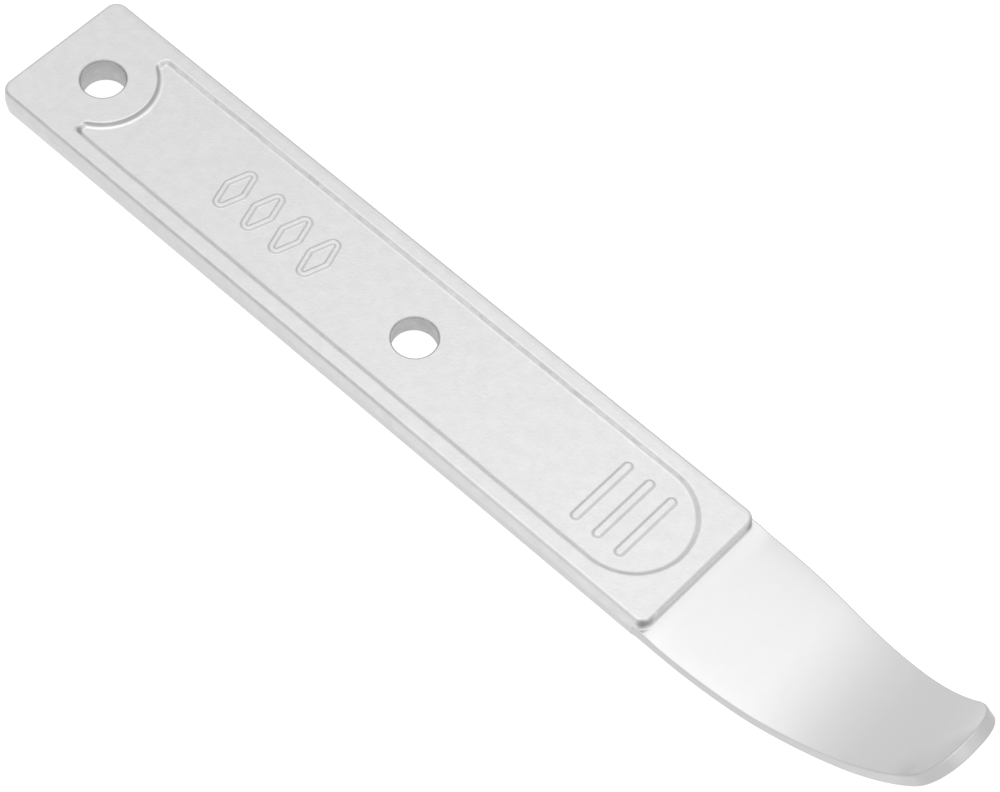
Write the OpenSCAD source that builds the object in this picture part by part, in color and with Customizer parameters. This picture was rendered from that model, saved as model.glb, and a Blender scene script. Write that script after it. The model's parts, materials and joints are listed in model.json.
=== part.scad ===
// Tyre lever: a drop-forged flat handle with a thin, upturned spoon blade.
// The origin is on the axis of the end hole, at the handle's underside.
// +X runs to the blade's tip, +Z is up, and the blade curls towards +Z.

/* [Handle] */
// Length of the handle, from its square end to the step
handle_l = 169.2; // [150:0.1:200]
// Width across the parting line, which is also the width of the blade's root
handle_w = 32; // [30:0.5:40]
// Thickness between the two flat faces
handle_t = 6.5; // [6:0.1:8]
// Plan radius of the two corners beside the end hole
end_corner_r = 3; // [2:0.1:5]
// Plan radius of the two corners at the step
step_corner_r = 2.5; // [2:0.1:4]
// Slope of the forged sides, from the parting line to each face
draft_angle = 5.5; // [3:0.5:7]
// Rounding where the sides meet the faces
edge_r = 0.6; // [0.3:0.1:1]

/* [Holes] */
// Diameter of both holes
hole_d = 9; // [7:0.1:10]
// Distance from the handle's end to the end hole's axis
end_inset = 13.1; // [12:0.1:14]
// Distance between the two holes
hole_spacing = 84.7; // [75:0.1:95]

/* [Panel] */
// Depth of the panel sunk into each face
panel_depth = 0.85; // [0.8:0.05:1.4]
// Width of the panel's floor
panel_floor_w = 23.1; // [20:0.1:24]
// How far the panel's sloping wall runs out, from its floor to the face
panel_wall_run = 0.85; // [0.5:0.05:1]
// Distance from the handle's end to the panel's straight end
panel_start = 18.1; // [17:0.1:19]
// Distance from the step to the panel's round end, at the face
panel_tip_gap = 4.3; // [4:0.1:8]
// Radius of the land around the end hole, at the face
boss_r = 10.6; // [10:0.1:11]
// Radius of the two small corners at the panel's straight end, at the floor
panel_corner_r = 0.9; // [0.5:0.1:1.2]

/* [Thumb ribs] */
// Number of ribs
rib_count = 3; // [1:1:4]
// Distance from one rib to the next
rib_pitch = 5.35; // [4:0.05:7]
// Length of a rib at its foot
rib_l = 16.4; // [10:0.1:20]
// Width of a rib at its foot
rib_w = 2.2; // [1.6:0.1:3]
// Height of a rib above the panel's floor
rib_h = 0.6; // [0.3:0.05:1]
// How far a rib's sides slope in towards its top
rib_slope = 0.5; // [0.2:0.05:0.6]
// Distance from the step to the nearest rib
rib_gap = 13.45; // [12:0.05:20]

/* [Marks] */
// Number of raised lozenges
mark_count = 4; // [1:1:5]
// Distance from one lozenge to the next
mark_pitch = 7.5; // [6:0.1:9]
// Distance from the handle's end to the first lozenge
mark_start = 50; // [40:0.5:60]
// Length of a lozenge across the handle
mark_l = 11; // [8:0.1:14]
// Width of a lozenge along the handle
mark_w = 5.8; // [4:0.1:6]
// Width of a lozenge's hollow middle, as a share of the whole
mark_hollow = 0.56; // [0.4:0.01:0.7]
// Height of a lozenge above the panel's floor
mark_h = 0.45; // [0.2:0.05:0.8]

/* [Blade] */
// Thickness of the blade
blade_t = 2.6; // [2.2:0.1:3]
// Height of the blade's underside above the handle's underside, at the root
blade_rise = 1.3; // [1:0.1:2]
// Length of the flat root
root_l = 22; // [15:0.5:30]
// Middle radius of the first bend
bend_r1 = 55; // [45:1:70]
// Angle of the first bend
bend_a1 = 20; // [15:1:25]
// Middle radius of the tighter bend at the tip
bend_r2 = 32; // [28:1:40]
// Length of the tighter bend, to the middle of the tip's corners
bend_l2 = 15.8; // [12:0.1:18]
// Slope of the tapered sides, seen from above
taper_angle = 9; // [6:0.5:10]
// Distance from the step to where the taper's line meets the straight side
taper_start = 15.8; // [14:0.1:20]
// Radius that blends the straight side into the taper
taper_r = 143; // [80:1:160]
// Radius of the tip's corners
tip_r = 9.2; // [7:0.1:9.4]

/* [Hidden] */
$fn = 64;

eps = 0.01;
face_arc_steps = 4;
parting_z = handle_t / 2;
end_x = -end_inset;
step_x = end_x + handle_l;
panel_floor_z = handle_t - panel_depth;

panel_floor_r = panel_floor_w / 2;
panel_round_x = step_x - panel_tip_gap - panel_floor_r - panel_wall_run;

blade_z = blade_rise + blade_t / 2;
// Angle reached at the middle of the tip's corners
tip_angle = bend_a1 + bend_l2 / bend_r2 * 180 / PI;
root_tab_l = 6;

// Centres of the two bends and of the tip's corners, as [x, z] from the blade's root
centre_1 = [root_l, bend_r1];
centre_2 = centre_1 + (bend_r1 - bend_r2) * [sin(bend_a1), -cos(bend_a1)];
tip_centre = centre_2 + bend_r2 * [sin(tip_angle), -cos(tip_angle)];
tip_half_w = handle_w / 2 - tan(taper_angle) * (tip_centre.x - taper_start);

// Half of the forged edge's section, as [inset, z] from the parting line up to a face
function edge_half(draft, r, h) =
    let (centre = r * cos(draft) + tan(draft) * (h - r + r * sin(draft)))
    [for (i = [0:face_arc_steps])
        let (a = draft + (90 - draft) * i / face_arc_steps)
        [centre - r * cos(a), h - r + r * sin(a)]];

// The whole edge's section, from the bottom face to the top face
function forged_edge() =
    let (half = edge_half(draft_angle, edge_r, parting_z))
    concat(
        [for (i = [face_arc_steps:-1:0]) [half[i].x, parting_z - half[i].y]],
        [[0, parting_z]],
        [for (p = half) [p.x, parting_z + p.y]]);

// A bar along X whose sides follow an edge section
module edged_bar(x0, x1, half_w, edge) {
    right = [for (p = edge) [half_w - p.x, p.y]];
    left = [for (i = [len(edge) - 1:-1:0]) [edge[i].x - half_w, edge[i].y]];
    translate([x0, 0, 0])
        rotate([90, 0, 90])
            linear_extrude(x1 - x0)
                polygon(concat(right, left));
}

// A bar along Y whose two ends follow the same edge section
module edged_slice(x0, x1, half_w, edge) {
    right = [for (p = edge) [x1 - p.x, p.y]];
    left = [for (i = [len(edge) - 1:-1:0]) [x0 + edge[i].x, edge[i].y]];
    translate([0, half_w, 0])
        rotate([90, 0, 0])
            linear_extrude(2 * half_w)
                polygon(concat(right, left));
}

// A round post whose side follows an edge section
module edged_post(r, edge) {
    last = len(edge) - 1;
    rotate_extrude()
        polygon(concat([[0, edge[0].y]], [for (p = edge) [r - p.x, p.y]], [[0, edge[last].y]]));
}

// What a square corner loses when it is rounded, for the corner towards +X and +Y
module corner_waste(r, edge) {
    low = edge[0].y - 1;
    high = edge[len(edge) - 1].y + 1;
    difference() {
        translate([0, 0, low])
            cube([r + 1, r + 1, high - low]);
        edged_post(r, edge);
    }
}

// A plate whose four sides follow an edge section, with corners of radius r0 at x0 and r1 at x1
module edged_plate(x0, x1, half_w, r0, r1, edge) {
    difference() {
        intersection() {
            edged_bar(x0 - 1, x1 + 1, half_w, edge);
            edged_slice(x0, x1, half_w + 1, edge);
        }
        for (side = [0, 1]) {
            mirror([0, side, 0]) {
                translate([x1 - r1, half_w - r1, 0])
                    corner_waste(r1, edge);
                translate([x0 + r0, half_w - r0, 0])
                    mirror([1, 0, 0])
                        corner_waste(r0, edge);
            }
        }
    }
}

// The hollow of the upper panel: a straight run with one round end, less the land around the hole
module panel_hollow() {
    // The wall leans out by panel_wall_run over the panel's depth, and on past the face
    over = 1.5;
    half_w = panel_floor_r + panel_wall_run * over;
    corner_r = panel_corner_r + panel_wall_run * over;
    start_x = end_x + panel_start - panel_wall_run * (over - 1);
    lean = [[panel_wall_run * over, panel_floor_z], [0, panel_floor_z + panel_depth * over]];
    land = [
        [0, panel_floor_z - 1], [0, panel_floor_z],
        [panel_wall_run, handle_t], [panel_wall_run, handle_t + 1]];
    difference() {
        edged_plate(start_x, panel_round_x + half_w, half_w, corner_r, half_w - eps, lean);
        edged_post(boss_r + panel_wall_run, land);
    }
}

// One rib across the handle, standing on the panel's floor
module rib() {
    foot = [[0, panel_floor_z - eps], [rib_slope, panel_floor_z + rib_h]];
    straight = rib_l / 2 - rib_w / 2;
    edged_slice(-rib_w / 2, rib_w / 2, straight, foot);
    for (side = [-1, 1])
        translate([0, side * straight, 0])
            edged_post(rib_w / 2, foot);
}

// A lozenge's outline, at a share of its full size
module lozenge(share) {
    scale(share)
        polygon([[mark_w / 2, 0], [0, mark_l / 2], [-mark_w / 2, 0], [0, -mark_l / 2]]);
}

// One raised lozenge with a hollow middle, standing on the panel's floor
module mark() {
    translate([0, 0, panel_floor_z - eps])
        linear_extrude(mark_h + eps)
            difference() {
                lozenge(1);
                lozenge(mark_hollow);
            }
}

// The thin layer of the handle that the blade grows from, squared off at the step
module root_tab() {
    translate([step_x - root_tab_l, -handle_w / 2, blade_rise])
        cube([root_tab_l, handle_w, blade_t]);
}

module handle() {
    color("gainsboro")
        difference() {
            union() {
                difference() {
                    edged_plate(end_x, step_x, handle_w / 2, end_corner_r, step_corner_r, forged_edge());
                    panel_hollow();
                    translate([0, 0, handle_t])
                        mirror([0, 0, 1])
                            panel_hollow();
                }
                root_tab();
                for (i = [0:rib_count - 1])
                    translate([step_x - rib_gap - i * rib_pitch, 0, 0])
                        rib();
                for (i = [0:mark_count - 1])
                    translate([end_x + mark_start + i * mark_pitch, 0, 0])
                        mark();
            }
            for (x = [0, hole_spacing])
                translate([x, 0, -1])
                    cylinder(d = hole_d, h = handle_t + 2);
        }
}

// A full ring of the blade's thickness about a bend's centre, in section
module bend_ring(centre, r) {
    translate(centre)
        difference() {
            circle(r + blade_t / 2, $fn = 180);
            circle(r - blade_t / 2, $fn = 180);
        }
}

// The blade seen from the side: flat root, easy bend, tighter bend
module blade_section() {
    reach = 2 * bend_r1;
    bend_start = [root_l, -reach];
    bend_change = centre_1 + reach * [sin(bend_a1), -cos(bend_a1)];
    bend_end = centre_1 + [reach, 0];
    translate([0, -blade_t / 2])
        square([root_l, blade_t]);
    intersection() {
        bend_ring(centre_1, bend_r1);
        polygon([centre_1, bend_start, bend_change]);
    }
    intersection() {
        bend_ring(centre_2, bend_r2);
        polygon([centre_1, bend_change, bend_end]);
    }
}

// What the blade's outline loses where a straight side blends into the taper
module blend_waste() {
    run = taper_r * tan(taper_angle / 2);
    half_w = handle_w / 2;
    difference() {
        polygon([
            [taper_start - run, half_w],
            [taper_start, half_w + 1],
            [taper_start + run * cos(taper_angle), half_w - run * sin(taper_angle)]]);
        translate([taper_start - run, half_w - taper_r])
            circle(taper_r, $fn = 360);
    }
}

// The blade's tapered outline, seen from above
module blade_outline() {
    far_x = tip_centre.x + 4 * tip_r;
    far_w = handle_w / 2 - tan(taper_angle) * (far_x - taper_start);
    difference() {
        polygon([
            [0, -handle_w / 2], [taper_start, -handle_w / 2], [far_x, -far_w],
            [far_x, far_w], [taper_start, handle_w / 2], [0, handle_w / 2]]);
        for (side = [0, 1])
            mirror([0, side])
                blend_waste();
    }
}

// The tip's rounded end, in the plane of the blade at the middle of its corners
module tip_outline() {
    back = 100;
    translate([-back, -handle_w])
        square([back, 2 * handle_w]);
    translate([0, tip_r - tip_half_w])
        square([tip_r, 2 * (tip_half_w - tip_r)]);
    for (side = [-1, 1])
        translate([0, side * (tip_half_w - tip_r)])
            circle(tip_r);
}

module blade() {
    color("whitesmoke")
        translate([step_x, 0, blade_z])
            intersection() {
                rotate([90, 0, 0])
                    linear_extrude(2 * handle_w, center = true)
                        blade_section();
                linear_extrude(200, center = true)
                    blade_outline();
                translate([tip_centre.x, 0, tip_centre.y])
                    rotate([0, -tip_angle, 0])
                        linear_extrude(200, center = true)
                            tip_outline();
            }
}

handle();
blade();
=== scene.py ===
"""A forged tyre lever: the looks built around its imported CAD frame.

Mesh code works in millimetres in the CAD frame and scales to metres when a piece is made.
"""

import json
import math

import bpy
import numpy as np
from mathutils import Matrix, Vector, geometry


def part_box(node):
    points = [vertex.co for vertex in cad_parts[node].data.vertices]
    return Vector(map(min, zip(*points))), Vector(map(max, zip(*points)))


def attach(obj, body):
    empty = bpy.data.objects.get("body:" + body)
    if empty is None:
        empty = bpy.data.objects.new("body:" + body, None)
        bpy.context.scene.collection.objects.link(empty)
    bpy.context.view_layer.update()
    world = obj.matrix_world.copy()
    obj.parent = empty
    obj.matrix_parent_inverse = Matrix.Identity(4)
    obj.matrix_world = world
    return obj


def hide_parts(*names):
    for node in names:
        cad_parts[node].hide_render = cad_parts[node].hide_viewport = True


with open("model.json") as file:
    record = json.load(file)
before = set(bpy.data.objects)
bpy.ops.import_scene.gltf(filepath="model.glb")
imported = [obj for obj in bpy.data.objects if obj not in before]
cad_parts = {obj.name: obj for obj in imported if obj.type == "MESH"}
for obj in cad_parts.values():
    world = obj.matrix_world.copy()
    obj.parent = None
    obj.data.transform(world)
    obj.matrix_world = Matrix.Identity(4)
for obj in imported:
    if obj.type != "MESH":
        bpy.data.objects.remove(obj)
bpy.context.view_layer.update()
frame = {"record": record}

MM = 0.001


def node_box(name):
    """A CAD node's lowest and highest corner, in millimetres."""
    low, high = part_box(name)
    return np.array(low) / MM, np.array(high) / MM


# Sizes taken from the frame
handle_low, handle_high = node_box("handle")
END_X, STEP_X = handle_low[0], handle_high[0]
HALF_W, FACE_Z = handle_high[1], handle_high[2]
PARTING_Z = FACE_Z / 2
mounts = {m["name"]: m for m in frame["record"]["mounts"]}
MID_HOLE_X = mounts["mid_hole"]["pos_m"][0] / MM
HOLE_R = mounts["end_hole"]["dims"]["r_mm"]

# Handle: forged sides and corners
DRAFT = math.tan(math.radians(5.5))
OVERRUN = 5.0  # Length of a section's straight ends; any length past their roundings does
END_CORNER_R = 3.0
STEP_CORNER_R = 2.5
EDGE_R = 0.8
PARTING_R = 0.35
HOLE_RIM_R = 0.35

# Panel sunk into each face
PANEL_DEPTH = 0.85
PANEL_WOBBLE = 0.05
WOBBLE_WAVES = [(17, 0.4), (41, 0.3), (83, 0.2), (137, 0.15)]  # Waves round the outline, share
PANEL_Z = FACE_Z - PANEL_DEPTH
PANEL_HALF_W = 11.55
PANEL_WALL_RUN = 0.85
PANEL_START = 18.9
PANEL_TIP_GAP = 5.1
PANEL_CORNER_R = 0.5
PANEL_RIM_R = 0.6
PANEL_FOOT_R = 0.8
LAND_R = 11.4

# Thumb ribs
RIB_COUNT = 3
RIB_PITCH = 5.35
RIB_GAP = 13.45
RIB_L = 16.4
RIB_W = 2.2
RIB_H = 0.6
RIB_SLOPE = 0.5
RIB_ROUNDING = 0.42

# Outlined lozenges
MARK_COUNT = 4
MARK_START = 50.0
MARK_PITCH = 7.5
MARK_L = 11.0
MARK_W = 5.8
MARK_H = 0.45
MARK_CREST = 0.33
MARK_FOOT = 0.72
MARK_CORNER_R = 0.95
MARK_ROUNDING = 0.3
MARK_ROUNDING_STEPS = 4

# Blade
BLADE_T = 2.6
BLADE_Z = 2.6
ROOT_L = 22.0
BEND_R1 = 55.0
BEND_A1 = math.radians(20)
BEND_R2 = 32.0
BEND_L2 = 15.8
TAPER = math.radians(9)
TAPER_START = 15.8
TAPER_R = 143.0
TIP_R = 9.2
END_TRIM = 0.15
BLADE_EDGE_R = 0.3
BLADE_CROWN = 0.42
CROWN_FADE = 4.0
TAB_IN = 6.0
TAB_TUCK = 0.7
TAB_EASE = 1.5
TAB_SHOULDER = 0.75
SIDE_START = 0.15
BEAD_R = 0.5
BEAD_MIN = 0.03
BEAD_END = 0.5
BEAD_FADE = 2.2
BEAD_TUCK = 0.3
BEAD_STEPS = 9
BEAD_TURN = 80.0

# Fineness of the meshes
STRAIGHT_STEP = 1.4
ARC_STEP = 0.3
ARC_ANGLE = 6.0
ROUNDING_STEPS = 5
BLADE_ROUNDING_STEPS = 8
TIP_STEPS = 48
STEP_CORNER_STEPS = 17
STEP_RUN_STEPS = 24
BLADE_STEP = 0.7
HANDLE_GRID = 1.8
RIB_GRID = 0.7
MARK_GRID = 0.9
BLADE_GRID = 1.0
BLADE_GRID_Y = 1.3
GRID_CLEARANCE = 0.45  # Share of a grid step kept clear of an outline

# Looks of the plating: tones are factors, grain and swell are heights in millimetres
SATIN = {
    "tone": 1.02, "mottle": 0.035, "grain": 0.040, "grain_size": 0.45,
    "roughness": 0.32, "spread": 0.05, "swell": 0.005}
# The holes' walls: a duller finish, and a lower tone that is painted shade
BORE_AND_PAINTED_SHADE = {
    "tone": 0.72, "mottle": 0.12, "grain": 0.020, "grain_size": 0.30,
    "roughness": 0.42, "spread": 0.06, "swell": 0.01}
POLISHED = {
    "tone": 1.0, "mottle": 0.008, "grain": 0.0006, "grain_size": 0.5,
    "roughness": 0.25, "spread": 0.02, "swell": 0.0008}
# The blade's edges: a duller finish, and a lower tone that is painted shade
EDGE_AND_PAINTED_SHADE = {
    "tone": 0.88, "mottle": 0.02, "grain": 0.004, "grain_size": 0.4,
    "roughness": 0.36, "spread": 0.04, "swell": 0.002}
# Noises: size, detail, roughness
MOTTLE = (2.4, 5, 0.65)
GLOSS = (1.1, 6, 0.6)
STREAKS = (1.8, 3, 0.5)
SWELL = (3.2, 2, 0.5)
GRAIN = (3, 0.55)  # Its size is in each look
NOISE_MIDDLE = (0.3, 0.7)
SPOT_CORE = 0.4  # Share of a spot's radius that has its full factor
LINE_CORE = 0.3  # The same for a line or a ring
LINE_FADE = 15.0
RING_DROP = 0.1

# Stage and studio
FLOOR_HALF = 3.0
FLOOR_DROP = 0.02
FLOOR_TONE = 0.5
FLOOR_ROUGHNESS = 0.9
FLOOR_GLOW = 0.8
DOME_STRENGTH = 2.0
DOME_TILT = (0.1, -0.06, 0.0)
DOME_TONES = [  # Height of the direction, tone
    (-1.0, 0.76), (-0.88, 0.82), (-0.79, 1.08), (-0.70, 0.86), (-0.4, 0.78), (0.0, 0.77),
    (0.50, 0.77), (0.66, 0.81), (0.78, 0.96), (0.86, 1.125), (0.92, 1.16), (1.0, 1.32)]

# Camera: angles in degrees, aim and distance in metres
LENS, SENSOR = 109.54, 36
AZIMUTH, ELEVATION, ROLL = 38.683, 58.600, 5.031
AIM = (0.10393, 0.00298, 0.00325)
DISTANCE = 0.56688
CLIP = (0.01, 20)

# Number of a piece's second material: the holes' walls, the blade's edges
SECOND_FINISH = 1


# ---------------------------------------------------------------- outlines and profiles


def arc_loop(arcs, arc_step=ARC_STEP, straight_step=STRAIGHT_STEP):
    """A closed outline of tangent arcs (x, y, radius, start, end in degrees) joined by straight runs.

    Returns its points and outward normals. An arc that runs clockwise is a hollow in the outline.
    """
    points, normals = [], []
    for x, y, r, start, end in arcs:
        sweep = abs(end - start)
        count = max(2, math.ceil(math.radians(sweep) * r / arc_step), math.ceil(sweep / ARC_ANGLE))
        angle = np.radians(np.linspace(start, end, count + 1))
        ray = np.column_stack([np.cos(angle), np.sin(angle)])
        points.append(np.array([x, y]) + r * ray)
        normals.append(ray if end > start else -ray)
    all_points, all_normals = [], []
    for k in range(len(arcs)):
        after = points[(k + 1) % len(arcs)][0]
        before = points[k][-1]
        run = np.hypot(*(after - before))
        all_points.append(points[k] if run > 1e-6 else points[k][:-1])
        all_normals.append(normals[k] if run > 1e-6 else normals[k][:-1])
        inner = math.ceil(run / straight_step) - 1
        if inner > 0:
            share = (np.arange(inner) + 1)[:, None] / (inner + 1)
            all_points.append(before + share * (after - before))
            all_normals.append(np.repeat(normals[k][-1:], inner, axis=0))
    return np.concatenate(all_points), np.concatenate(all_normals)


def rounded_profile(corners, radii, steps=ROUNDING_STEPS):
    """A section (offset, height) through corners, rounded at each inner one. Material is on its right.

    It starts and ends where the first and last rounding begin and end. Returns points and normals.
    """
    corners = np.array(corners, float)
    points, normals = [], []
    for k, r in enumerate(radii):
        before, here, after = corners[k], corners[k + 1], corners[k + 2]
        u = (here - before) / np.hypot(*(here - before))
        v = (after - here) / np.hypot(*(after - here))
        turn = math.atan2(u[0] * v[1] - u[1] * v[0], u @ v)
        side = 1 if turn > 0 else -1
        left = np.array([-u[1], u[0]])
        start = here - u * r * math.tan(abs(turn) / 2)
        centre = start + left * r * side
        for i in range(steps + 1):
            a = turn * i / steps
            normal = np.array([
                left[0] * math.cos(a) - left[1] * math.sin(a),
                left[0] * math.sin(a) + left[1] * math.cos(a)])
            points.append(centre - normal * r * side)
            normals.append(normal)
    return np.array(points), np.array(normals)


def rounded_rectangle(x0, x1, half_w, r0, r1):
    """Arcs of a rectangle with corners of radius r0 at x0 and r1 at x1."""
    return [
        (x1 - r1, r1 - half_w, r1, -90, 0),
        (x1 - r1, half_w - r1, r1, 0, 90),
        (x0 + r0, half_w - r0, r0, 90, 180),
        (x0 + r0, r0 - half_w, r0, 180, 270)]


def panel_outline():
    """The panel's floor: a straight run with one round end, less the land around the end hole."""
    q = PANEL_CORNER_R
    w = PANEL_HALF_W
    x0 = END_X + PANEL_START
    round_x = STEP_X - PANEL_TIP_GAP - w
    corner_x = x0 + q
    land_y = math.sqrt((LAND_R + q) ** 2 - corner_x ** 2)
    lean = math.degrees(math.atan2(land_y, corner_x))
    return [
        (corner_x, q - w, q, 180, 270),
        (round_x, 0, w, -90, 90),
        (corner_x, w - q, q, 90, 180),
        (corner_x, land_y, q, 180, 180 + lean),
        (0, 0, LAND_R, lean, -lean),
        (corner_x, -land_y, q, 180 - lean, 180)]


def rib_outline(x):
    """A rib's foot: a bar across the handle with round ends."""
    r = RIB_W / 2
    y = RIB_L / 2 - r
    return [(x, y, r, 0, 180), (x, -y, r, 180, 360)]


def mark_outline(x):
    """The middle line of a lozenge's raised outline, with rounded corners."""
    r = MARK_CORNER_R
    dx = MARK_W / 2 - MARK_FOOT - r
    dy = MARK_L / 2 - MARK_FOOT - r
    a = math.degrees(math.atan2(dx, dy))
    return [
        (x + dx, 0, r, -a, a),
        (x, dy, r, a, 180 - a),
        (x - dx, 0, r, 180 - a, 180 + a),
        (x, -dy, r, 180 + a, 360 - a)]


# ---------------------------------------------------------------- skins


class Skin:
    """A closed surface being made: its points, their own normals, and its faces."""

    def __init__(self):
        self.points = []
        self.normals = []
        self.faces = []
        self.finishes = []
        self.count = 0

    def add(self, points, normals):
        """Adds points and returns their numbers."""
        self.points.append(np.asarray(points, float))
        self.normals.append(np.asarray(normals, float))
        first = self.count
        self.count += len(points)
        return np.arange(first, self.count)

    def sweep(self, outline, profile, flip=False, finish=0):
        """Carries a profile round an outline. Returns the rings at the profile's start and end.

        With flip, the profile is turned over for the lower face. finish is the material's number.
        """
        line, out = outline
        section, slope = profile
        rings = []
        for (offset, height), (across, rise) in zip(section, slope):
            z = FACE_Z - height if flip else height
            up = -rise if flip else rise
            p = np.column_stack([line + offset * out, np.full(len(line), z)])
            n = np.column_stack([across * out, np.full(len(line), up)])
            rings.append(self.add(p, n))
        for a, b in zip(rings, rings[1:]):
            self.join(a, b, finish=finish)
        return rings[0], rings[-1]

    def join(self, a, b, closed=True, finish=0):
        """Joins two rings of the same length with quads."""
        if closed:
            a2, b2 = np.roll(a, -1), np.roll(b, -1)
        else:
            a, a2, b, b2 = a[:-1], a[1:], b[:-1], b[1:]
        self.cover(np.column_stack([a, a2, b2, b]).tolist(), finish)

    def cover(self, faces, finish=0):
        """Adds faces in one finish."""
        self.faces.extend(faces)
        self.finishes.extend([finish] * len(faces))

    def fill(self, outer, holes, z, up, spacing, spacing_y=None):
        """Fills the flat region between an outer ring and its holes with an even grid of triangles."""
        everything = np.concatenate(self.points)
        rings = [outer, *holes]
        numbers = np.concatenate(rings)
        ring_points = everything[numbers][:, :2]
        edges, first = [], 0
        for ring in rings:
            n = len(ring)
            edges += [(first + i, first + (i + 1) % n) for i in range(n)]
            first += n
        shapes = [everything[ring][:, :2] for ring in rings]
        grid = grid_points(shapes, spacing, spacing_y or spacing)
        inner = self.add(
            np.column_stack([grid, np.full(len(grid), z)]), np.tile([0, 0, up], (len(grid), 1)))
        numbers = np.concatenate([numbers, inner])
        flat = [Vector(p) for p in np.concatenate([ring_points, grid])]
        made, _, faces, origin, _, _ = geometry.delaunay_2d_cdt(flat, edges, [], 0, 1e-7, True)
        triangles = np.array([f for f in faces if len(f) == 3])
        middles = np.array([tuple(p) for p in made])[triangles].mean(axis=1)
        keep = inside(middles, shapes[0])
        for shape in shapes[1:]:
            keep &= ~inside(middles, shape)
        back = np.array([numbers[o[0]] if o else -1 for o in origin])
        self.cover(back[triangles[keep]].tolist())

    def piece(self, name, place=None):
        """Makes the mesh object, in metres. place(points) bends the flat points into place."""
        points = np.concatenate(self.points)
        normals = np.concatenate(self.normals)
        normals /= np.linalg.norm(normals, axis=1)[:, None]
        if place:
            normals = carried_normals(points, normals, place)
            points = place(points)
        faces, finishes = turned_out(points, normals, self.faces, self.finishes)
        mesh = bpy.data.meshes.new(name)
        mesh.from_pydata((points * MM).tolist(), [], faces)
        mesh.polygons.foreach_set("use_smooth", [True] * len(mesh.polygons))
        mesh.polygons.foreach_set("material_index", finishes)
        mesh.update()
        mesh.normals_split_custom_set_from_vertices(normals.tolist())
        piece = bpy.data.objects.new(name, mesh)
        bpy.context.scene.collection.objects.link(piece)
        return piece


def inside(points, polygon):
    """Which points lie inside a closed polygon."""
    result = np.zeros(len(points), bool)
    x, y = points[:, 0], points[:, 1]
    for (x1, y1), (x2, y2) in zip(polygon, np.roll(polygon, -1, axis=0)):
        if y1 == y2:
            continue
        crosses = (y1 > y) != (y2 > y)
        result ^= crosses & (x < (x2 - x1) * (y - y1) / (y2 - y1) + x1)
    return result


def grid_points(shapes, dx, dy):
    """A grid of points inside the first shape and outside the others, clear of every outline."""
    low, high = shapes[0].min(axis=0), shapes[0].max(axis=0)
    xs = np.linspace(low[0], high[0], math.ceil((high[0] - low[0]) / dx) + 1)[1:-1]
    ys = np.linspace(low[1], high[1], math.ceil((high[1] - low[1]) / dy) + 1)[1:-1]
    if not len(xs) or not len(ys):
        return np.zeros((0, 2))
    grid = np.array([(x, y) for x in xs for y in ys])
    keep = inside(grid, shapes[0])
    for shape in shapes[1:]:
        keep &= ~inside(grid, shape)
    grid = grid[keep]
    if not len(grid):
        return grid
    near = np.full(len(grid), 1e9)
    for shape in shapes:
        for a, b in zip(shape, np.roll(shape, -1, axis=0)):
            along = b - a
            share = np.clip((grid - a) @ along / (along @ along), 0, 1)
            near = np.minimum(near, np.hypot(*(grid - a - share[:, None] * along).T))
    return grid[near > GRID_CLEARANCE * min(dx, dy)]


def carried_normals(points, normals, place):
    """Normals after place() has bent the surface: the cross product of two bent tangents."""
    helper = np.where(np.abs(normals[:, :1]) < 0.7, [[1.0, 0, 0]], [[0, 1.0, 0]])
    u = np.cross(normals, helper)
    u /= np.linalg.norm(u, axis=1)[:, None]
    v = np.cross(normals, u)
    small = 0.01
    du = place(points + small * u) - place(points - small * u)
    dv = place(points + small * v) - place(points - small * v)
    bent = np.cross(du, dv)
    return bent / np.linalg.norm(bent, axis=1)[:, None]


def turned_out(points, normals, faces, finishes):
    """The faces, each wound so that it looks the way its points' normals do, and their finishes."""
    result, order = [], []
    for size in (3, 4):
        picked = [k for k, face in enumerate(faces) if len(face) == size]
        group = np.array([faces[k] for k in picked])
        corner = points[group]
        looks = np.cross(corner[:, 2] - corner[:, 0], corner[:, -1] - corner[:, 1])
        if size == 3:
            looks = np.cross(corner[:, 1] - corner[:, 0], corner[:, 2] - corner[:, 0])
        wrong = (looks * normals[group].mean(axis=1)).sum(axis=1) < 0
        group[wrong] = group[wrong][:, ::-1]
        result += group.tolist()
        order += picked
    return result, [finishes[k] for k in order]


# ---------------------------------------------------------------- handle


def wobbled(outline, size):
    """An outline that strays a little, as a forged edge does."""
    line, out = outline
    run = np.concatenate([[0], np.cumsum(np.hypot(*np.diff(line, axis=0).T))])
    total = run[-1] + np.hypot(*(line[0] - line[-1]))
    t = 2 * math.pi * run / total
    stray = sum(share * np.sin(turns * t + turns) for turns, share in WOBBLE_WAVES)
    return line + size * stray[:, None] * out, out


def panel_profile():
    corners = [
        (-OVERRUN, PANEL_Z), (0, PANEL_Z), (PANEL_WALL_RUN, FACE_Z),
        (PANEL_WALL_RUN + OVERRUN, FACE_Z)]
    return rounded_profile(corners, [PANEL_FOOT_R, PANEL_RIM_R])


def rib_profile():
    top = PANEL_Z + RIB_H
    corners = [(-OVERRUN, top), (-RIB_SLOPE, top), (0, PANEL_Z), (OVERRUN, PANEL_Z)]
    return rounded_profile(corners, [RIB_ROUNDING, RIB_ROUNDING])


def mark_profile():
    top = PANEL_Z + MARK_H
    corners = [
        (-OVERRUN, PANEL_Z), (-MARK_FOOT, PANEL_Z), (-MARK_CREST, top),
        (MARK_CREST, top), (MARK_FOOT, PANEL_Z), (OVERRUN, PANEL_Z)]
    return rounded_profile(corners, [MARK_ROUNDING] * 4, MARK_ROUNDING_STEPS)


def side_profile():
    inset = DRAFT * PARTING_Z
    corners = [(-OVERRUN, FACE_Z), (-inset, FACE_Z), (0, PARTING_Z), (-inset, 0), (-OVERRUN, 0)]
    return rounded_profile(corners, [EDGE_R, PARTING_R, EDGE_R])


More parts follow.
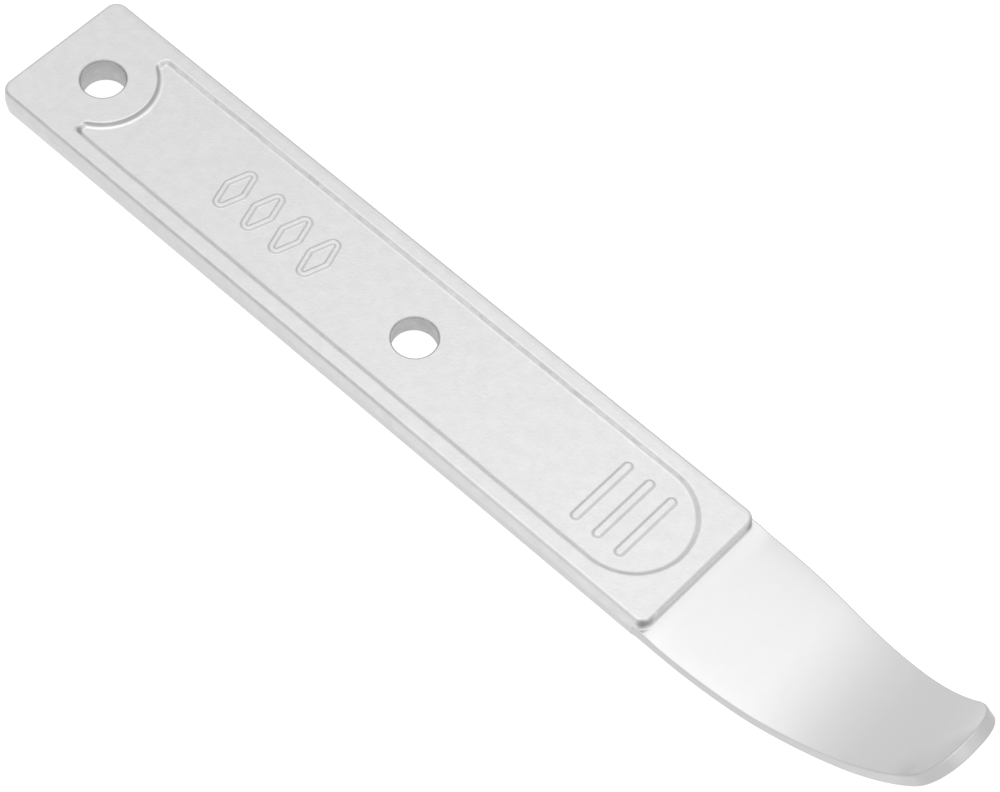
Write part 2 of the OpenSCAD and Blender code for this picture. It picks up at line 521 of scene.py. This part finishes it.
def hole_profile(low, high):
    corners = [(OVERRUN, low), (0, low), (0, high), (OVERRUN, high)]
    return rounded_profile(corners, [HOLE_RIM_R, HOLE_RIM_R])


def handle():
    """The forged handle: drafted sides, a panel in each face, ribs, lozenges and two holes."""
    skin = Skin()
    plan = arc_loop(rounded_rectangle(END_X, STEP_X, HALF_W, END_CORNER_R, STEP_CORNER_R))
    top_rim, bottom_rim = skin.sweep(plan, side_profile())
    end_hole = arc_loop([(0, 0, HOLE_R, 0, 360)])
    end_bottom, end_top = skin.sweep(end_hole, hole_profile(0, FACE_Z), finish=SECOND_FINISH)
    mid_hole = arc_loop([(MID_HOLE_X, 0, HOLE_R, 0, 360)])
    web = hole_profile(FACE_Z - PANEL_Z, PANEL_Z)
    mid_bottom, mid_top = skin.sweep(mid_hole, web, finish=SECOND_FINISH)
    panel = wobbled(arc_loop(panel_outline()), PANEL_WOBBLE)
    floor_top, face_top = skin.sweep(panel, panel_profile())
    floor_bottom, face_bottom = skin.sweep(panel, panel_profile(), flip=True)
    raised = [mid_top]
    for i in range(RIB_COUNT):
        outline = arc_loop(rib_outline(STEP_X - RIB_GAP - i * RIB_PITCH))
        crown, foot = skin.sweep(outline, rib_profile())
        skin.fill(crown, [], PANEL_Z + RIB_H, 1, RIB_GRID)
        raised.append(foot)
    for i in range(MARK_COUNT):
        outline = arc_loop(mark_outline(END_X + MARK_START + i * MARK_PITCH))
        hollow, foot = skin.sweep(outline, mark_profile())
        skin.fill(hollow, [], PANEL_Z, 1, MARK_GRID)
        raised.append(foot)
    skin.fill(floor_top, raised, PANEL_Z, 1, HANDLE_GRID)
    skin.fill(top_rim, [face_top, end_top], FACE_Z, 1, HANDLE_GRID)
    skin.fill(floor_bottom, [mid_bottom], FACE_Z - PANEL_Z, -1, HANDLE_GRID)
    skin.fill(bottom_rim, [face_bottom, end_bottom], 0, -1, HANDLE_GRID)
    return skin.piece("handle_forging")


# ---------------------------------------------------------------- blade


BEND_1 = STEP_X + ROOT_L
BEND_2 = BEND_1 + BEND_R1 * BEND_A1
TIP_S = BEND_2 + BEND_L2


def bent(points):
    """Points (run along the blade, y, height above its middle) placed on the bent, crowned blade."""
    s, y, n = points.T
    across = (y / HALF_W) ** 2
    crown = BLADE_CROWN * smooth((s - STEP_X) / CROWN_FADE) * (across + across ** 3) / 2
    n = n - crown * (n / BLADE_T + 0.5)
    first = np.clip(s - BEND_1, 0, BEND_2 - BEND_1) / BEND_R1
    second = np.maximum(s - BEND_2, 0) / BEND_R2
    angle = first + second
    x = np.minimum(s, BEND_1) + BEND_R1 * np.sin(first)
    z = BLADE_Z + BEND_R1 * (1 - np.cos(first))
    x = x + BEND_R2 * (np.sin(angle) - np.sin(first))
    z = z + BEND_R2 * (np.cos(first) - np.cos(angle))
    return np.column_stack([x - n * np.sin(angle), y, z + n * np.cos(angle)])


def smooth(t):
    """A smooth step from 0 to 1."""
    t = np.clip(t, 0, 1)
    return t * t * (3 - 2 * t)


def side_half_width(s):
    """Half the blade's width where its run is s: straight, then a blend into the taper."""
    x = bent(np.column_stack([s, np.zeros_like(s), np.zeros_like(s)]))[:, 0] - STEP_X
    blend_run = TAPER_R * math.tan(TAPER / 2)
    start = TAPER_START - blend_run
    end = TAPER_START + blend_run * math.cos(TAPER)
    arc = HALF_W - TAPER_R + np.sqrt(TAPER_R ** 2 - np.clip(x - start, 0, None) ** 2)
    line = HALF_W - math.tan(TAPER) * (x - TAPER_START)
    return np.where(x < end, arc, line)


def blade_outline():
    """The blade's flat outline as (run, y) and outward normals, its root tucked into the handle."""
    tip_half_w = side_half_width(np.array([TIP_S]))[0]
    past = 0.5
    lean = math.atan((tip_half_w - side_half_width(np.array([TIP_S + past]))[0]) / past)
    corner_y = tip_half_w - TIP_R / math.cos(lean)
    corner_s = STEP_X - STEP_CORNER_R
    start = corner_s + SIDE_START
    side_end = TIP_S + TIP_R * math.sin(lean)
    s = np.linspace(start, side_end, math.ceil((side_end - start) / BLADE_STEP) + 1)
    side = np.column_stack([s, side_half_width(s)])
    a = np.linspace(math.pi / 2 - lean, 0, TIP_STEPS + 1)[1:]
    reach = TIP_R * np.cos(a)
    corner = np.column_stack([
        TIP_S + BEND_R2 * np.arcsin(reach / BEND_R2) - END_TRIM * np.cos(a),
        corner_y + TIP_R * np.sin(a)])
    tuck = HALF_W - TAB_TUCK
    root = np.array([
        [STEP_X - TAB_IN, 0.0],
        [STEP_X - TAB_IN, tuck / 2],
        [STEP_X - TAB_IN, tuck],
        [STEP_X - TAB_IN + TAB_EASE, tuck],
        [start - TAB_SHOULDER, tuck]])
    end_count = math.ceil(corner_y / BLADE_STEP)
    end_y = corner_y * (1 - (np.arange(end_count) + 1) / end_count)
    end = np.column_stack([np.full(end_count, corner[-1][0]), end_y])
    upper = np.concatenate([root, side, corner, end])
    lower = upper[::-1][1:-1] * [1, -1]
    loop = np.concatenate([upper, lower])[::-1]
    step = np.roll(loop, -1, axis=0) - loop
    step /= np.hypot(*step.T)[:, None]
    along = step + np.roll(step, 1, axis=0)
    along /= np.hypot(*along.T)[:, None]
    return loop, np.column_stack([along[:, 1], -along[:, 0]])


def blade_profile():
    half = BLADE_T / 2
    corners = [(-OVERRUN, half), (0, half), (0, -half), (-OVERRUN, -half)]
    return rounded_profile(corners, [BLADE_EDGE_R, BLADE_EDGE_R], BLADE_ROUNDING_STEPS)


def fillet_bead(skin, away):
    """The fillet where the handle's end meets the blade: away is 1 for the upper face, -1 the lower."""
    line, out = step_line()
    height = away * BLADE_T / 2
    wall = math.atan(DRAFT)
    foot = -DRAFT * abs(BLADE_Z + height - PARTING_Z)
    reach = math.tan((math.pi / 2 - wall) / 2)
    size = BEAD_MIN + BEAD_R * smooth((HALF_W - BEAD_END - np.abs(line[:, 1])) / BEAD_FADE)
    rings = []
    for a in np.linspace(0, math.pi / 2 - wall, BEAD_STEPS):
        across = foot + size * (reach - math.sin(a))
        p = np.column_stack([line + across[:, None] * out, height + away * size * (1 - math.cos(a))])
        n = np.column_stack([math.sin(a) * out, np.full(len(line), away * math.cos(a))])
        rings.append(skin.add(p, n))
    for across in (np.full(len(line), foot - BEAD_TUCK), foot + size * reach):
        low = np.full(len(line), height - away * BEAD_TUCK)
        p = np.column_stack([line + across[:, None] * out, low])
        rings.append(skin.add(p, np.tile([0, 0, -away], (len(line), 1))))
    for a, b in zip(rings, rings[1:] + rings[:1]):
        skin.join(a, b, closed=False)
    for k in (0, -1):
        *rim, corner, low = [int(ring[k]) for ring in rings]
        skin.cover([[corner, one, other] for one, other in zip([low, *rim], rim)])


def step_line():
    """The handle's end as an open line (x, y) with outward normals, round both corners."""
    r = STEP_CORNER_R
    y = HALF_W - r
    turn = np.radians(np.linspace(0, BEAD_TURN, STEP_CORNER_STEPS + 1))
    middle = np.linspace(-y, y, STEP_RUN_STEPS + 1)[1:-1]
    angle = np.concatenate([-turn[::-1], np.zeros(len(middle)), turn])
    centre_y = np.concatenate([np.full(len(turn), -y), middle, np.full(len(turn), y)])
    out = np.column_stack([np.cos(angle), np.sin(angle)])
    return np.column_stack([np.full(len(angle), STEP_X - r), centre_y]) + r * out, out


def blade():
    """The bent blade, with its root tucked into the handle and a fillet at the step on each face."""
    skin = Skin()
    top, bottom = skin.sweep(blade_outline(), blade_profile(), finish=SECOND_FINISH)
    half = BLADE_T / 2
    skin.fill(top, [], half, 1, BLADE_GRID, BLADE_GRID_Y)
    skin.fill(bottom, [], -half, -1, BLADE_GRID, BLADE_GRID_Y)
    fillet_bead(skin, 1)
    fillet_bead(skin, -1)
    return skin.piece("blade_forging", bent)


# ---------------------------------------------------------------- materials


class Tree:
    """Short ways to add nodes to a node tree. Lengths are in millimetres."""

    def __init__(self, tree):
        self.nodes = tree.nodes
        self.link = tree.links.new

    def add(self, kind, operation=None, **inputs):
        """A new node, with inputs set by their names, with _ for a space. A value may be a socket."""
        node = self.nodes.new(kind)
        if operation:
            node.operation = operation
        for name, value in inputs.items():
            self.put(value, node.inputs[name.replace("_", " ")])
        return node

    def put(self, value, socket):
        """Links a socket, or sets a plain value."""
        if isinstance(value, bpy.types.NodeSocket):
            self.link(value, socket)
        else:
            socket.default_value = value

    def span(self, value, low, high, start, end):
        """A value carried from start..end to low..high, and held beyond."""
        return self.add(
            "ShaderNodeMapRange", Value=value, From_Min=start, From_Max=end, To_Min=low,
            To_Max=high).outputs["Result"]

    def noise(self, place, size, detail, rough):
        """Plain noise."""
        return self.add(
            "ShaderNodeTexNoise", Vector=place, Scale=1 / (size * MM), Detail=detail,
            Roughness=rough).outputs["Fac"]

    def spread(self, noise, low, high):
        """The middle part of a noise, spread over low..high."""
        return self.span(noise, low, high, *NOISE_MIDDLE)

    def bump(self, noise, height, normal=None):
        """A bump of noise, over another one if given."""
        node = self.add("ShaderNodeBump", Strength=1.0, Distance=height * MM, Height=noise)
        if normal is not None:
            self.link(normal, node.inputs["Normal"])
        return node.outputs["Normal"]

    def scaled(self, colour, factor):
        """A colour times a factor."""
        node = self.add("ShaderNodeVectorMath", "SCALE", Scale=factor)
        self.link(colour, node.inputs[0])
        return node.outputs["Vector"]

    def masked(self, place, axes):
        """A place with some of its coordinates set to 0."""
        node = self.add("ShaderNodeVectorMath", "MULTIPLY")
        self.link(place, node.inputs[0])
        node.inputs[1].default_value = axes
        return node.outputs["Vector"]

    def distance(self, place, centre):
        """How far a place is from a centre given in millimetres."""
        node = self.add("ShaderNodeVectorMath", "DISTANCE")
        self.link(place, node.inputs[0])
        node.inputs[1].default_value = [c * MM for c in centre]
        return node.outputs["Value"]

    def offset(self, value, middle):
        """How far a value is from a middle given in millimetres, on either side."""
        less = self.add("ShaderNodeMath", "SUBTRACT")
        self.link(value, less.inputs[0])
        less.inputs[1].default_value = middle * MM
        size = self.add("ShaderNodeMath", "ABSOLUTE")
        self.link(less.outputs["Value"], size.inputs[0])
        return size.outputs["Value"]


def paint_spot(tree, place, colour, centre, radius, factor):
    """Paints light where its factor is above 1 and shade where it is below: multiplies the colour in a
    round spot.
    """
    away = tree.distance(place, centre)
    return tree.scaled(colour, tree.span(away, factor, 1, SPOT_CORE * radius * MM, radius * MM))


def paint_line(tree, place, colour, y, z, radius, least, most, until):
    """Paints light where its factor is above 1 and shade where it is below: multiplies the colour by an
    uneven factor along a line beside the x axis, up to some x.
    """
    x = tree.add("ShaderNodeSeparateXYZ", Vector=place).outputs["X"]
    uneven = tree.spread(tree.noise(place, *STREAKS), least, most)
    faded = tree.span(x, uneven, 1, (until - LINE_FADE) * MM, (until + LINE_FADE) * MM)
    away = tree.distance(tree.masked(place, (0, 1, 1)), (0, y, z))
    return tree.scaled(colour, tree.span(away, faded, 1, LINE_CORE * radius * MM, radius * MM))


def paint_shift(tree, place, colour, start, end, factor):
    """Paints light where its factor is above 1 and shade where it is below: multiplies the colour by a
    factor reached slowly between two places along x.
    """
    x = tree.add("ShaderNodeSeparateXYZ", Vector=place).outputs["X"]
    return tree.scaled(colour, tree.span(x, 1, factor, start * MM, end * MM))


def paint_ring(tree, place, colour, radius, half_w, factor):
    """Paints light where its factor is above 1 and shade where it is below: multiplies the colour in a
    ring about the end hole's axis, below the handle's face.
    """
    reach = tree.add("ShaderNodeVectorMath", "LENGTH")
    tree.link(tree.masked(place, (1, 1, 0)), reach.inputs[0])
    away = tree.offset(reach.outputs["Value"], radius)
    sunken = tree.span(away, factor, 1, LINE_CORE * half_w * MM, half_w * MM)
    z = tree.add("ShaderNodeSeparateXYZ", Vector=place).outputs["Z"]
    top = tree.span(z, sunken, 1, (FACE_Z - RING_DROP) * MM, FACE_Z * MM)
    return tree.scaled(colour, top)


def plated_steel(name, base, look, painted_marks=()):
    """Plated steel: fine grain, a slow swell, uneven gloss and tone, and painted light and shade set by
    position.
    """
    material = bpy.data.materials.new(name)
    material.use_nodes = True
    tree = Tree(material.node_tree)
    shader = tree.nodes["Principled BSDF"]
    place = tree.add("ShaderNodeTexCoord").outputs["Object"]
    base = [c * look["tone"] for c in base]
    tone = tree.add("ShaderNodeMix")
    tone.data_type = "RGBA"
    tone.inputs["A"].default_value = [c * (1 - look["mottle"]) for c in base] + [1]
    tone.inputs["B"].default_value = [min(1, c * (1 + look["mottle"])) for c in base] + [1]
    tree.link(tree.spread(tree.noise(place, *MOTTLE), 0, 1), tone.inputs["Factor"])
    colour = tone.outputs["Result"]
    for painter, *values in painted_marks:
        colour = painter(tree, place, colour, *values)
    smooth_end = look["roughness"] - look["spread"]
    rough_end = look["roughness"] + look["spread"]
    gloss = tree.spread(tree.noise(place, *GLOSS), smooth_end, rough_end)
    fine = tree.bump(tree.noise(place, look["grain_size"], *GRAIN), look["grain"])
    slow = tree.bump(tree.noise(place, *SWELL), look["swell"], fine)
    tree.put(1.0, shader.inputs["Metallic"])
    tree.link(colour, shader.inputs["Base Color"])
    tree.link(gloss, shader.inputs["Roughness"])
    tree.link(slow, shader.inputs["Normal"])
    return material


def handle_materials(base):
    """Satin plating for the handle with painted light and shade, and the duller plating of its holes,
    its lower tone painted shade.
    """
    wall_z = FACE_Z - PANEL_DEPTH / 2
    # Painted shade at the step's corners and in the panel's near corner
    painted_shade_spots = [
        (paint_spot, (STEP_X - 0.73, 0.73 - HALF_W, 5.5), 1.5, 0.42),
        (paint_spot, (STEP_X - 0.10, 2.3 - HALF_W, 5.4), 1.2, 0.62),
        (paint_spot, (STEP_X - 0.15, HALF_W - 1.6, 4.9), 2.0, 0.42),
        (paint_spot, (END_X + PANEL_START - 0.3, -PANEL_HALF_W - 0.1, PANEL_Z + 0.4), 1.1, 0.6)]
    # Painted shade inside both long edges, then painted light and shade on the panel's long walls
    painted_edge_and_wall_lines = [
        (paint_line, -15.45, FACE_Z - 0.1, 0.45, 0.88, 0.76, 100),
        (paint_line, 14.6, FACE_Z, 0.4, 0.97, 0.93, 200),
        (paint_line, -12.0, wall_z, 0.45, 1.22, 1.16, 200),
        (paint_line, 12.0, wall_z, 0.45, 1.20, 0.88, 200)]
    # The wall of the land around the end hole: painted shade above, a painted highlight at its foot
    rings = [
        (paint_ring, LAND_R - 0.55, 0.45, 0.67),
        (paint_ring, LAND_R + 0.1, 0.4, 1.14)]
    # Painted light: the satin grows lighter towards the step
    painted_light_to_step = (paint_shift, 30, STEP_X - 6, 1.06)
    satin = plated_steel("satin_plating", base, SATIN, [*painted_shade_spots, *painted_edge_and_wall_lines, painted_light_to_step, *rings])
    return satin, plated_steel("bore_plating_painted_shade", base, BORE_AND_PAINTED_SHADE)


def blade_materials(base):
    """Polished plating for the blade's faces with painted light near the tip, and the duller plating of
    its edges, its lower tone painted shade.
    """
    tip_x = node_box("blade")[1][0]
    # Painted light: a lighter spot on the blade's faces near the tip
    painted_tip_light = (paint_spot, (tip_x - 3, -4, 20), 8, 1.09)
    # Painted shade: the edges grow darker towards the tip's end
    painted_tip_shade = (paint_shift, tip_x - 9, tip_x - 4, 0.93)
    polished = plated_steel("polished_plating", base, POLISHED, [painted_tip_light])
    return polished, plated_steel("edge_plating_painted_shade", base, EDGE_AND_PAINTED_SHADE, [painted_tip_shade])


# ---------------------------------------------------------------- stage


def floor():
    """A plain pale floor, clear from below so that the underside can be looked at."""
    mesh = bpy.data.meshes.new("floor")
    half = FLOOR_HALF
    corners = [(-half, -half, 0), (half, -half, 0), (half, half, 0), (-half, half, 0)]
    mesh.from_pydata(corners, [], [(0, 1, 2, 3)])
    piece = bpy.data.objects.new("floor", mesh)
    piece.location.z = -FLOOR_DROP * MM
    piece.visible_glossy = False
    bpy.context.scene.collection.objects.link(piece)
    material = bpy.data.materials.new("pale_floor")
    material.use_nodes = True
    tree = Tree(material.node_tree)
    shader = tree.nodes["Principled BSDF"]
    tree.put((FLOOR_TONE, FLOOR_TONE, FLOOR_TONE, 1), shader.inputs["Base Color"])
    tree.put(FLOOR_ROUGHNESS, shader.inputs["Roughness"])
    tree.put((1, 1, 1, 1), shader.inputs["Emission Color"])
    tree.put(FLOOR_GLOW, shader.inputs["Emission Strength"])
    clear = tree.add("ShaderNodeBsdfTransparent")
    below = tree.add("ShaderNodeNewGeometry").outputs["Backfacing"]
    pick = tree.add("ShaderNodeMixShader", Fac=below)
    tree.link(shader.outputs["BSDF"], pick.inputs[1])
    tree.link(clear.outputs["BSDF"], pick.inputs[2])
    tree.link(pick.outputs["Shader"], tree.nodes["Material Output"].inputs["Surface"])
    mesh.materials.append(material)


def dome():
    """Soft studio light: a large pale dome whose tone changes slowly with direction."""
    world = bpy.data.worlds.new("studio")
    bpy.context.scene.world = world
    world.use_nodes = True
    tree = Tree(world.node_tree)
    direction = tree.add("ShaderNodeTexCoord").outputs["Generated"]
    z = tree.add("ShaderNodeSeparateXYZ", Vector=direction).outputs["Z"]
    ramp = tree.add("ShaderNodeValToRGB", Fac=tree.span(z, 0, 1, -1, 1))
    ramp.color_ramp.interpolation = "B_SPLINE"
    stops = ramp.color_ramp.elements
    while len(stops) < len(DOME_TONES):
        stops.new(0.5)
    for stop, (height, tone) in zip(stops, DOME_TONES):
        stop.position = (height + 1) / 2
        stop.color = (tone / 2, tone / 2, tone / 2, 1)
    tilt = tree.add("ShaderNodeVectorMath", "DOT_PRODUCT")
    tree.link(direction, tilt.inputs[0])
    tilt.inputs[1].default_value = DOME_TILT
    lift = tree.add("ShaderNodeMath", "ADD")
    tree.link(tilt.outputs["Value"], lift.inputs[0])
    lift.inputs[1].default_value = DOME_STRENGTH
    background = tree.nodes["Background"]
    tree.link(ramp.outputs["Color"], background.inputs["Color"])
    tree.link(lift.outputs["Value"], background.inputs["Strength"])


def camera():
    """The camera, at the photograph's viewing angle."""
    data = bpy.data.cameras.new("camera")
    data.sensor_width = SENSOR
    data.lens = LENS
    data.clip_start, data.clip_end = CLIP
    eye = bpy.data.objects.new("camera", data)
    bpy.context.scene.collection.objects.link(eye)
    bpy.context.scene.camera = eye
    azimuth, elevation, roll = (math.radians(a) for a in (AZIMUTH, ELEVATION, ROLL))
    back = Vector((
        math.sin(azimuth) * math.cos(elevation),
        -math.cos(azimuth) * math.cos(elevation),
        math.sin(elevation)))
    turn = (-back).to_track_quat("-Z", "Y").to_matrix().to_4x4()
    place = Matrix.Translation(Vector(AIM) + back * DISTANCE)
    eye.matrix_world = place @ turn @ Matrix.Rotation(roll, 4, "Z")


# ---------------------------------------------------------------- the scene

slots = {m["slot"]: m["base_color"] for m in frame["record"]["materials"]}

handle_piece = handle()
for material in handle_materials(slots["satin_steel"]):
    handle_piece.data.materials.append(material)
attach(handle_piece, "root")
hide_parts("handle")

blade_piece = blade()
for material in blade_materials(slots["polished_steel"]):
    blade_piece.data.materials.append(material)
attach(blade_piece, "root")
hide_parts("blade")

floor()
dome()
camera()
bpy.context.scene.view_settings.view_transform = "Standard"
